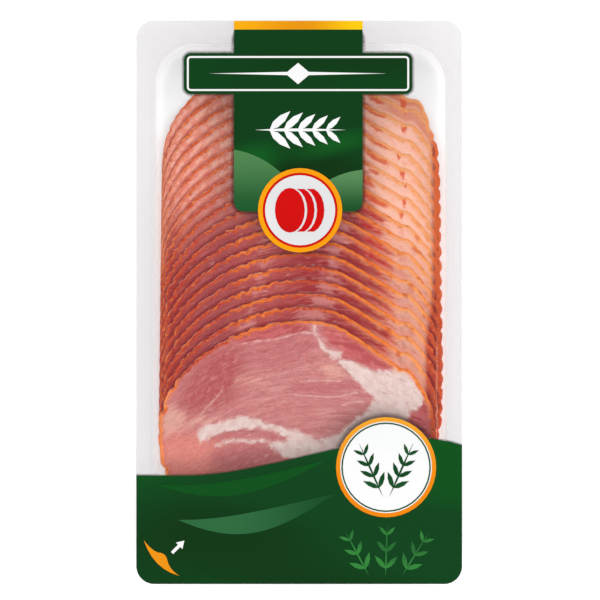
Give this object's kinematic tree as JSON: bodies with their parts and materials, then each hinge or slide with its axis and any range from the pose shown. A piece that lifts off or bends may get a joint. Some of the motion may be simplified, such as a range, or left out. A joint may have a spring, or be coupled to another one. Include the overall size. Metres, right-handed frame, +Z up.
{
  "type": "smoked pork neck pack",
  "caption": "Flat clear tray pack with a sealed lid film, shingled slices of smoked pork neck and green printed panels with plain ornaments.",
  "frame": {"origin": "middle of the pack's footprint, on the surface it lies on", "axes": "+X across the pack, to the right seen from above; +Y along the pack, from the end with the wide print to the end with the banner; +Z up, out of the lid"},
  "size_m": [0.14, 0.242, 0.0167],
  "materials": {
    "tray_plastic": "clear thermoformed plastic, faintly milky, smooth and glossy",
    "lid_film": "clear sealed film, taut and glossy",
    "smoked_pork": "moist sliced meat, pink lean with pale fat seams and an orange smoked rim",
    "ink_dark_green": "smooth printed ink",
    "ink_mid_green": "smooth printed ink",
    "ink_pale_green": "smooth printed ink",
    "ink_leaf_green": "smooth printed ink",
    "ink_gold": "smooth printed ink, yellow gold",
    "ink_orange": "smooth printed ink, orange",
    "ink_red": "smooth printed ink",
    "ink_white": "smooth printed ink"
  },
  "bodies": {
    "root": {"tray": "tray_plastic", "lid_film": "lid_film", "banner": "ink_dark_green", "banner_strip": "ink_gold", "banner_field_left": "ink_mid_green", "banner_field_right": "ink_pale_green", "banner_sprig": "ink_white", "plaque": "ink_dark_green", "plaque_keyline": "ink_white", "plaque_ornament": "ink_white", "badge_ring": "ink_gold", "badge_line": "ink_red", "badge_disc": "ink_white", "badge_slice_1": "ink_red", "badge_slice_2": "ink_red", "badge_slice_3": "ink_red", "seal_ring": "ink_orange", "seal_disc": "ink_white", "seal_line": "ink_dark_green", "seal_sprig_left": "ink_dark_green", "seal_sprig_right": "ink_dark_green", "wide_print": "ink_dark_green", "wide_band": "ink_mid_green", "wide_band_low": "ink_pale_green", "wide_sprig_1": "ink_leaf_green", "wide_sprig_2": "ink_leaf_green", "wide_sprig_3": "ink_leaf_green", "peel_flash": "ink_orange", "peel_arrow": "ink_white", "slice_01": "smoked_pork", "slice_02": "smoked_pork", "slice_03": "smoked_pork", "slice_04": "smoked_pork", "slice_05": "smoked_pork", "slice_06": "smoked_pork", "slice_07": "smoked_pork", "slice_08": "smoked_pork", "slice_09": "smoked_pork", "slice_10": "smoked_pork", "slice_11": "smoked_pork", "slice_12": "smoked_pork", "slice_13": "smoked_pork", "slice_14": "smoked_pork", "slice_15": "smoked_pork", "slice_16": "smoked_pork", "slice_17": "smoked_pork", "slice_18": "smoked_pork", "slice_19": "smoked_pork", "slice_20": "smoked_pork"}
  },
  "joints": []
}
